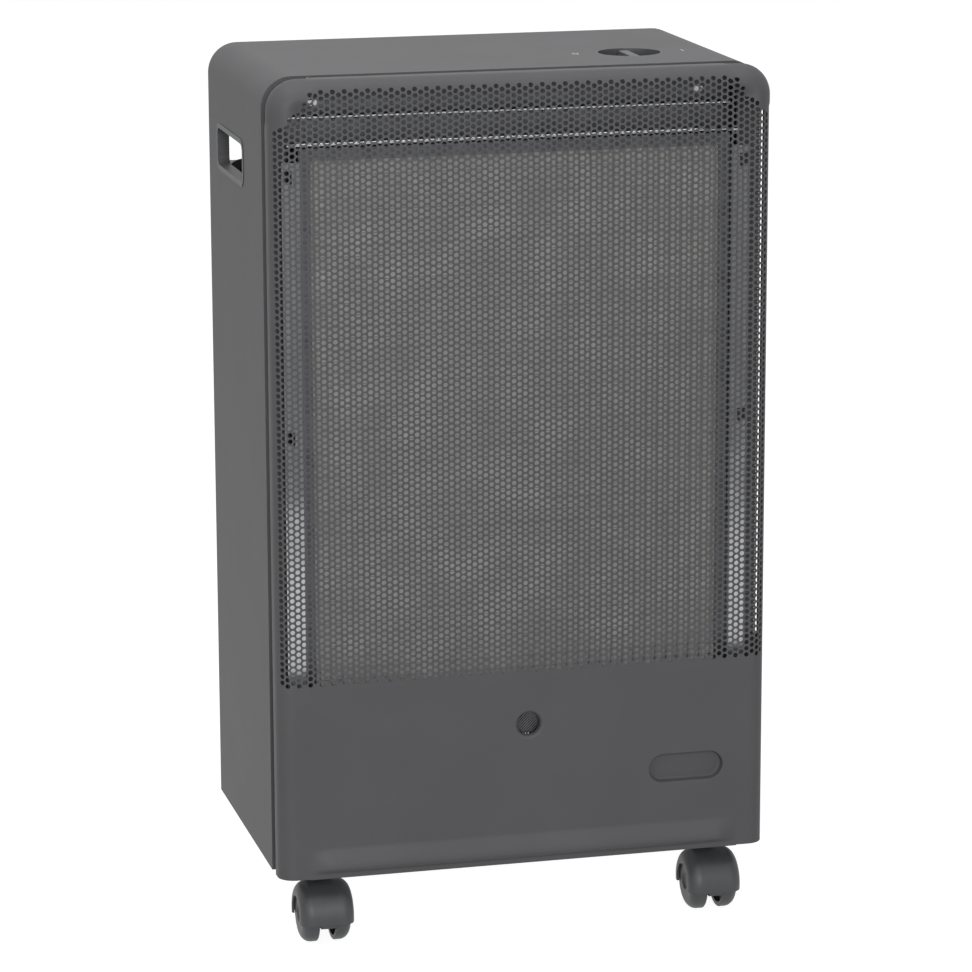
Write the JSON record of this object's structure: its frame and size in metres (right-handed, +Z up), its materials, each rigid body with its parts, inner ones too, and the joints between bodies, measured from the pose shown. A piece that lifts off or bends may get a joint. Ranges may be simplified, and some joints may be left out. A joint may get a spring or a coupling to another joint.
{
  "type": "portable gas cabinet heater",
  "caption": "Upright gas cabinet heater with perforated rounded front, recessed dial on top, side grips, tilting rear bottle cover and twin-wheel casters.",
  "frame": {"origin": "centre of the bounding box's bottom face, on the floor under the middle of the heater", "axes": "+Z up, -Y out of the perforated front, +X to the heater's right as seen from the front"},
  "size_m": [0.4212, 0.39, 0.728],
  "materials": {
    "powder_coat": "fine textured powder coat",
    "zinc_steel": "zinc plated, dull",
    "bright_aluminium": "bright rolled",
    "ceramic_fibre": "matt fibre felt",
    "stainless_mesh": "drawn wire, matt",
    "brass": "turned",
    "spindle_steel": "ground",
    "copper_pipe": "drawn copper, slightly tarnished",
    "lead_sleeve": "silicone sleeve",
    "electrode_ceramic": "glazed ceramic",
    "black_plastic": "fine moulded grain",
    "caster_plastic": "moulded nylon",
    "caster_steel": "zinc plated"
  },
  "bodies": {
    "cabinet": {"cabinet_shell": "powder_coat", "front_fascia": "powder_coat", "base_tray": "zinc_steel", "heat_shield": "zinc_steel", "burner_housing": "zinc_steel", "burner_standoffs": "zinc_steel", "fascia_screws": "zinc_steel", "deflector_screws": "zinc_steel", "valve_bracket": "zinc_steel", "pilot_bracket": "zinc_steel", "panel_frame": "zinc_steel", "side_reflector_left": "bright_aluminium", "side_reflector_right": "bright_aluminium", "top_deflector": "bright_aluminium", "catalyst_pad": "ceramic_fibre", "pad_mesh": "stainless_mesh", "gas_valve": "brass", "inlet_nozzle": "brass", "injector": "brass", "pilot_burner": "brass", "thermocouple": "spindle_steel", "main_gas_pipe": "copper_pipe", "pilot_pipe": "copper_pipe", "thermocouple_lead": "copper_pipe", "ignition_lead": "lead_sleeve", "spark_electrode": "electrode_ceramic", "dial_bowl": "black_plastic", "handle_left": "black_plastic", "handle_right": "black_plastic", "piezo_igniter": "black_plastic", "caster_sockets": "black_plastic"},
    "valve_spindle": {"valve_spindle": "spindle_steel"},
    "control_knob": {"control_knob": "black_plastic"},
    "rear_cover": {"rear_cover": "powder_coat", "cover_pins": "zinc_steel"},
    "caster_front_left": {"caster_front_left_hood": "caster_plastic", "caster_front_left_stem": "caster_steel", "caster_front_left_axle": "caster_steel"},
    "caster_front_left_wheel_left": {"caster_front_left_wheel_left": "caster_plastic"},
    "caster_front_left_wheel_right": {"caster_front_left_wheel_right": "caster_plastic"},
    "caster_front_right": {"caster_front_right_hood": "caster_plastic", "caster_front_right_stem": "caster_steel", "caster_front_right_axle": "caster_steel"},
    "caster_front_right_wheel_left": {"caster_front_right_wheel_left": "caster_plastic"},
    "caster_front_right_wheel_right": {"caster_front_right_wheel_right": "caster_plastic"},
    "caster_rear_left": {"caster_rear_left_hood": "caster_plastic", "caster_rear_left_stem": "caster_steel", "caster_rear_left_axle": "caster_steel"},
    "caster_rear_left_wheel_left": {"caster_rear_left_wheel_left": "caster_plastic"},
    "caster_rear_left_wheel_right": {"caster_rear_left_wheel_right": "caster_plastic"},
    "caster_rear_right": {"caster_rear_right_hood": "caster_plastic", "caster_rear_right_stem": "caster_steel", "caster_rear_right_axle": "caster_steel"},
    "caster_rear_right_wheel_left": {"caster_rear_right_wheel_left": "caster_plastic"},
    "caster_rear_right_wheel_right": {"caster_rear_right_wheel_right": "caster_plastic"}
  },
  "joints": [
    {"name": "dial_turn", "type": "hinge", "parent": "cabinet", "child": "valve_spindle", "pos_m": [0.1195, -0.0815, 0.7], "axis": [0, 0, 1], "range_deg": [0, 180]},
    {"name": "dial_press", "type": "slide", "parent": "valve_spindle", "child": "control_knob", "axis": [0, 0, -1], "range_m": [0, 0.004], "stiffness_N_per_m": 800, "springref_m": -0.003},
    {"name": "cover_tilt", "type": "hinge", "parent": "cabinet", "child": "rear_cover", "pos_m": [0, 0.173, 0.08], "axis": [-1, 0, 0], "range_deg": [0, 85]},
    {"name": "front_left_swivel", "type": "hinge", "parent": "cabinet", "child": "caster_front_left", "pos_m": [-0.169, -0.148, 0.06], "axis": [0, 0, 1], "continuous": true},
    {"name": "front_left_roll_left", "type": "hinge", "parent": "caster_front_left", "child": "caster_front_left_wheel_left", "pos_m": [-0.18285, -0.166, 0.0245], "axis": [1, 0, 0], "continuous": true},
    {"name": "front_left_roll_right", "type": "hinge", "parent": "caster_front_left", "child": "caster_front_left_wheel_right", "pos_m": [-0.15515, -0.166, 0.0245], "axis": [1, 0, 0], "continuous": true},
    {"name": "front_right_swivel", "type": "hinge", "parent": "cabinet", "child": "caster_front_right", "pos_m": [0.169, -0.148, 0.06], "axis": [0, 0, 1], "continuous": true},
    {"name": "front_right_roll_left", "type": "hinge", "parent": "caster_front_right", "child": "caster_front_right_wheel_left", "pos_m": [0.15515, -0.166, 0.0245], "axis": [1, 0, 0], "continuous": true},
    {"name": "front_right_roll_right", "type": "hinge", "parent": "caster_front_right", "child": "caster_front_right_wheel_right", "pos_m": [0.18285, -0.166, 0.0245], "axis": [1, 0, 0], "continuous": true},
    {"name": "rear_left_swivel", "type": "hinge", "parent": "cabinet", "child": "caster_rear_left", "pos_m": [-0.142, 0.145, 0.06], "axis": [0, 0, 1], "continuous": true},
    {"name": "rear_left_roll_left", "type": "hinge", "parent": "caster_rear_left", "child": "caster_rear_left_wheel_left", "pos_m": [-0.15585, 0.127, 0.0245], "axis": [1, 0, 0], "continuous": true},
    {"name": "rear_left_roll_right", "type": "hinge", "parent": "caster_rear_left", "child": "caster_rear_left_wheel_right", "pos_m": [-0.12815, 0.127, 0.0245], "axis": [1, 0, 0], "continuous": true},
    {"name": "rear_right_swivel", "type": "hinge", "parent": "cabinet", "child": "caster_rear_right", "pos_m": [0.142, 0.145, 0.06], "axis": [0, 0, 1], "continuous": true},
    {"name": "rear_right_roll_left", "type": "hinge", "parent": "caster_rear_right", "child": "caster_rear_right_wheel_left", "pos_m": [0.12815, 0.127, 0.0245], "axis": [1, 0, 0], "continuous": true},
    {"name": "rear_right_roll_right", "type": "hinge", "parent": "caster_rear_right", "child": "caster_rear_right_wheel_right", "pos_m": [0.15585, 0.127, 0.0245], "axis": [1, 0, 0], "continuous": true}
  ]
}
